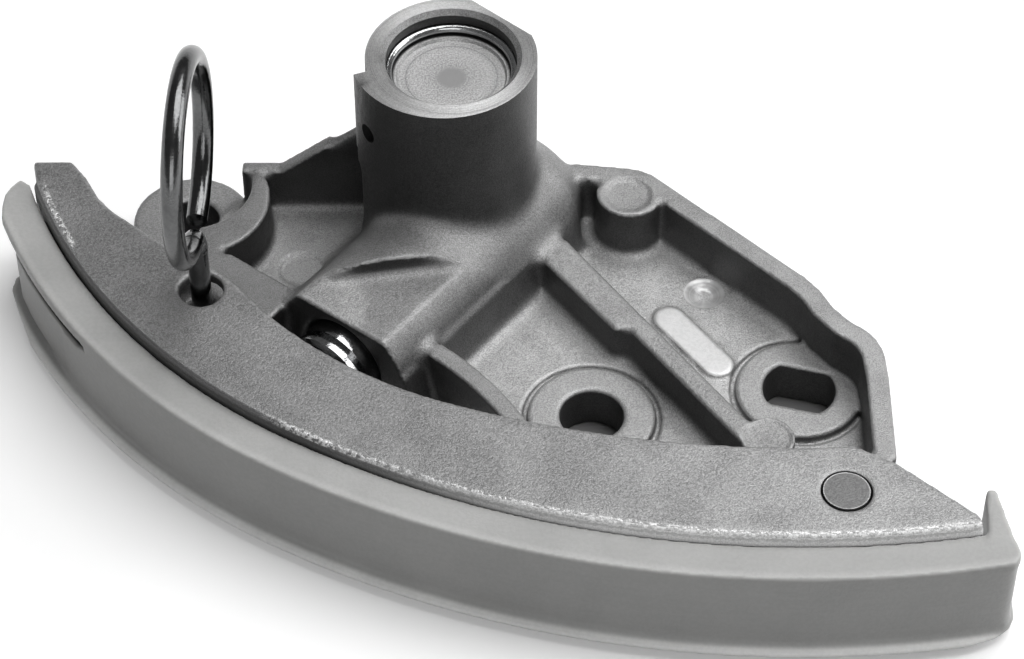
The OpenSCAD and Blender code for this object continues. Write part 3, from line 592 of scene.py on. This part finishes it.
class Skin:
    """Vertices of a fine mesh, which are smoothed by moving them towards their neighbours."""

    def __init__(self, mesh):
        self.co = vertex_places(mesh)
        self.edges = edge_ends(mesh)
        self.count = np.bincount(self.edges.ravel(), minlength=len(self.co)).astype(float)

    def ring_mean(self, values):
        """Mean of each vertex's neighbours."""
        a, b = self.edges.T
        total = np.empty_like(values)
        for axis in range(values.shape[1]):
            column = values[:, axis]
            total[:, axis] = np.bincount(a, column[b], len(values))
            total[:, axis] += np.bincount(b, column[a], len(values))
        return total / self.count[:, None]

    def smooth(self, times, weight):
        for _ in range(times):
            self.co += 0.5 * weight[:, None] * (self.ring_mean(self.co) - self.co)

    def bend(self, normal):
        """How far a vertex lies below its neighbours: above 0 in corners, below 0 on edges."""
        bend = np.einsum("ij,ij->i", self.ring_mean(self.co) - self.co, normal) / VOXEL / MM
        for _ in range(3):
            bend = 0.5 * bend + 0.5 * self.ring_mean(bend[:, None])[:, 0]
        return bend

    def spread(self, weight, times):
        """Lets a weight grow into its neighbours, a little less each time."""
        a, b = self.edges.T
        for _ in range(times):
            wider = weight.copy()
            np.maximum.at(wider, a, weight[b] - 0.05)
            np.maximum.at(wider, b, weight[a] - 0.05)
            weight = np.clip(wider, 0.0, 1.0)
        return weight


def soften(name, body, edge_r, fillet_r, crisp=(), deep=(), deep_r=0.0, exact=None, shift=None):
    """Copy of a node with rounded edges and filled inside corners, which stands for it.

    Edges stay crisp in the crisp zones, and deep zones are smoothed more. Above the exact level the CAD's
    own faces stay. The shift moves the places of the vertices before all this.
    """
    fine = voxel_copy(name)
    skin = Skin(fine)
    if shift is not None:
        skin.co = shift(skin.co)
    free = 1.0 - zone_weight(skin.co, crisp)
    # two rounds take off the steps of the voxels everywhere
    skin.smooth(2, np.ones_like(free))
    skin.smooth(rounds(edge_r) - 2, free)
    fine.vertices.foreach_set("co", skin.co.ravel())
    fine.update()
    normal = np.empty(len(skin.co) * 3)
    fine.vertex_normals.foreach_get("vector", normal)
    bend = skin.bend(normal.reshape(-1, 3))
    corners = np.clip(bend / CORNER_BEND - 1.0, 0.0, 1.0) * free
    skin.smooth(rounds(fillet_r), skin.spread(corners, int(2.0 * fillet_r / VOXEL)) * free)
    if deep:
        skin.smooth(rounds(deep_r), zone_weight(skin.co, deep))
    fine.vertices.foreach_set("co", skin.co.ravel())
    # convex edges, for the worn edges and their painted highlights in the materials
    wear_and_glint = fine.attributes.new("edge", "FLOAT", "POINT")
    wear_and_glint.data.foreach_set("value", np.clip(-bend / EDGE_BEND, 0.0, 1.0).astype(np.float32))
    shade_smooth(fine)
    fine.update()
    piece = bpy.data.objects.new(name + "_soft", fine)
    scene.collection.objects.link(piece)
    if 2 * len(fine.polygons) > MOST_TRIANGLES:
        thin = piece.modifiers.new("thin", "DECIMATE")
        thin.ratio = MOST_TRIANGLES / (2 * len(fine.polygons))
        piece.data = evaluated_mesh(piece)
        piece.modifiers.clear()
    if exact is not None:
        exact_above(name, piece.data, exact)
    piece.data.name = name + "_soft"
    piece.data.materials.clear()
    piece.data.materials.append(looks[name])
    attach(piece, body)
    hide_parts(name)


crisp_housing = [
    (*RESERVOIR, 13.0, 27.0, 31.0),   # reservoir's top
    (-22.3, 20.6, 2.0, 22.0, 26.0),   # vent
    (*BOLT, 7.4, 3.0, 6.0),           # three bosses
    (*SLOT, 7.4, 3.0, 6.0),
    (*LUG, 3.4, 3.0, 6.0),
    (4.1, 25.6, 2.7, 9.8, 11.0),      # mark on the corner post
    (17.0, -6.4, 2.9, 8.4, 9.6),      # round pad at the rib's end
    (-29.7, 19.8, 2.7, 4.6, 5.8),     # mark in the left floor
    (*DIMPLE, 2.6, 3.0, 5.2),
    (*PAD_START, 2.1, 4.2, 5.4),      # oblong pad, from end to end
    (10.5, 10.1, 2.1, 4.2, 5.4),
    (12.8, 6.9, 2.1, 4.2, 5.4),
    (-39.0, 9.65, 2.4, 0.0, 11.0),    # lock pin's hole
]
deep_housing = [
    (-14.5, 26.0, 12.5, 9.5, 17.5),   # reservoir's foot
    (-2.6, 24.6, 2.6, 6.0, 14.0),     # shoulder at its right
    (28.4, 10.3, 4.0, 3.4, 5.2),      # where the groove round the slot nicks the back wall
]
soften("housing", "housing", edge_r=0.24, fillet_r=0.75, crisp=crisp_housing,
       deep=deep_housing, deep_r=1.2, exact=20.0)

# The arm's worn upper edge
worn_edge = zones_along(RIGHT_ARC, RIGHT_R, 243.0, 280.0, 60, 0.9, 12.3, 13.4)
soften("arm", "arm", edge_r=0.26, fillet_r=0.5, deep=worn_edge, deep_r=0.5)


# Left end of the lining, with angles in degrees round the left arc's centre
FACE_TURNS = (202.0, 204.5, 207.5, 212.0, 214.7)
FACE_OUT = (0.0, 0.90, 0.95, 0.50, 0.0)
FACE_R = 67.65
SLIT_DROP = 0.5
SLIT_END = 218.0
SLIT_FILL_R = 67.78


def rise(value, start, width):
    """0 up to a start, then up to 1 over a width."""
    return np.clip((value - start) / width, 0.0, 1.0)


def fall(value, end, width):
    """1, then down to 0 over a width before an end."""
    return np.clip((end - value) / width, 0.0, 1.0)


def filled_end(co):
    """The lining's running face brought out at its left end, with a wider and shorter slit."""
    x, y, z = co.T / MM
    dx, dy = x - LEFT_ARC[0], y - LEFT_ARC[1]
    radius = np.hypot(dx, dy)
    turn = np.degrees(np.arctan2(dy, dx)) % 360.0
    out = np.interp(turn, FACE_TURNS, FACE_OUT)
    out *= rise(radius, 64.5, 1.5)
    out *= rise(z, 2.0, 0.3) * fall(z, 9.72, 0.15)
    out = np.minimum(out, np.maximum(FACE_R - radius, 0.0))
    # the slit is filled beyond its end
    beyond = (turn > SLIT_END) & (turn < 224.0) & (radius > 66.0) & (z > 9.4) & (z < 10.28)
    out = np.where(beyond, np.maximum(SLIT_FILL_R - radius, 0.0), out)
    # its lower side drops before that
    drop = SLIT_DROP * rise(z, 6.5, 2.9) * fall(z, 9.75, 0.1)
    before = np.interp(turn, (200.0, 201.0, SLIT_END - 1.0, SLIT_END), (0.0, 1.0, 1.0, 0.0))
    drop *= rise(radius, 64.8, 1.0) * before
    grown = co.copy()
    grown[:, 0] += out * MM * dx / radius
    grown[:, 1] += out * MM * dy / radius
    grown[:, 2] -= drop * MM
    return grown


crisp_slit = zones_along(LEFT_ARC, 66.7, 202.0, 216.8, 12, 1.8, 8.7, 10.6)
lining_ends = [(38.9, -24.2, 1.5, 3.0, 10.0), (-59.0, 21.2, 1.6, 1.9, 9.0)]
soften("lining", "arm", edge_r=0.24, fillet_r=0.4, crisp=crisp_slit,
       deep=lining_ends, deep_r=0.8, shift=filled_end)


# Plain pale floor. It is dim in the light it throws back, and painted dark as shade where it is seen under the
# three bolt holes.
# To the eye it glows a little, and more further out, where the lamps don't reach.
floor_mesh = bpy.data.meshes.new("floor")
floor_mesh.from_pydata([(-3, -3, 0), (3, -3, 0), (3, 3, 0), (-3, 3, 0)], [], [(0, 1, 2, 3)])
floor = bpy.data.objects.new("floor", floor_mesh)
scene.collection.objects.link(floor)
paper = bpy.data.materials.new("paper")
floor_mesh.materials.append(paper)
t = Tree(paper)
ground = t.new("TexCoord").outputs["Object"]
pale = t.seen()
# painted shade on the floor where it is seen under the bolt holes
for hole in (BOLT, SLOT, LUG):
    d = t.distance(ground, (hole[0] * MM, hole[1] * MM, 0.0))
    pale = t.times(pale, t.ramp(d, 0.0042, 0.0052))
matte = t.new("BsdfDiffuse")
t.put(matte.inputs[0], t.blend(pale, 0.28, 0.93))
glow = t.new("Emission")
far_out = t.ramp(t.distance(ground, (0.0, 0.0, 0.0)), 0.3, 0.9, 0.2, 1.0)
t.put(glow.inputs["Strength"], t.times(pale, far_out))
both = t.new("AddShader")
t.fill(both.inputs, (matte.outputs[0], glow.outputs[0]))
t.put(t.new("OutputMaterial").inputs[0], both.outputs[0])

# World: a white backdrop up to about ten degrees over the horizon, and the dim room above it
world = bpy.data.worlds.new("studio")
scene.world = world
t = Tree(world)
height = t.split(t.new("TexCoord").outputs["Generated"])[2]
backdrop = t.times(t.seen(), t.ramp(height, 0.14, 0.2, 1.0, 0.0))
sky = t.new("Background")
sky.inputs[0].default_value = (1, 1, 1, 1)
t.put(sky.inputs[1], t.blend(backdrop, 0.12, 1.0))
t.put(t.new("OutputWorld").inputs[0], sky.outputs[0])


# Soft studio light from three lamps
def lamp(name, place, target, size, power):
    """Rectangular lamp that faces a target."""
    data = bpy.data.lights.new(name, "AREA")
    data.shape = "RECTANGLE"
    data.size, data.size_y = size
    data.energy = power
    obj = bpy.data.objects.new(name, data)
    obj.location = place
    dx, dy, dz = (a - b for a, b in zip(place, target))
    tilt = math.atan2(math.hypot(dx, dy), dz)
    obj.rotation_euler = (tilt, 0.0, math.atan2(dy, dx) + math.pi / 2)
    scene.collection.objects.link(obj)


middle = (-0.01, 0.005, 0.01)
lamp("key", (0.14, 0.13, 0.52), middle, size=(0.45, 0.45), power=2.7)
lamp("side", (0.50, 0.10, 0.26), middle, size=(0.35, 0.30), power=1.3)
lamp("fill", (0.02, -0.58, 0.34), middle, size=(0.40, 0.35), power=0.95)
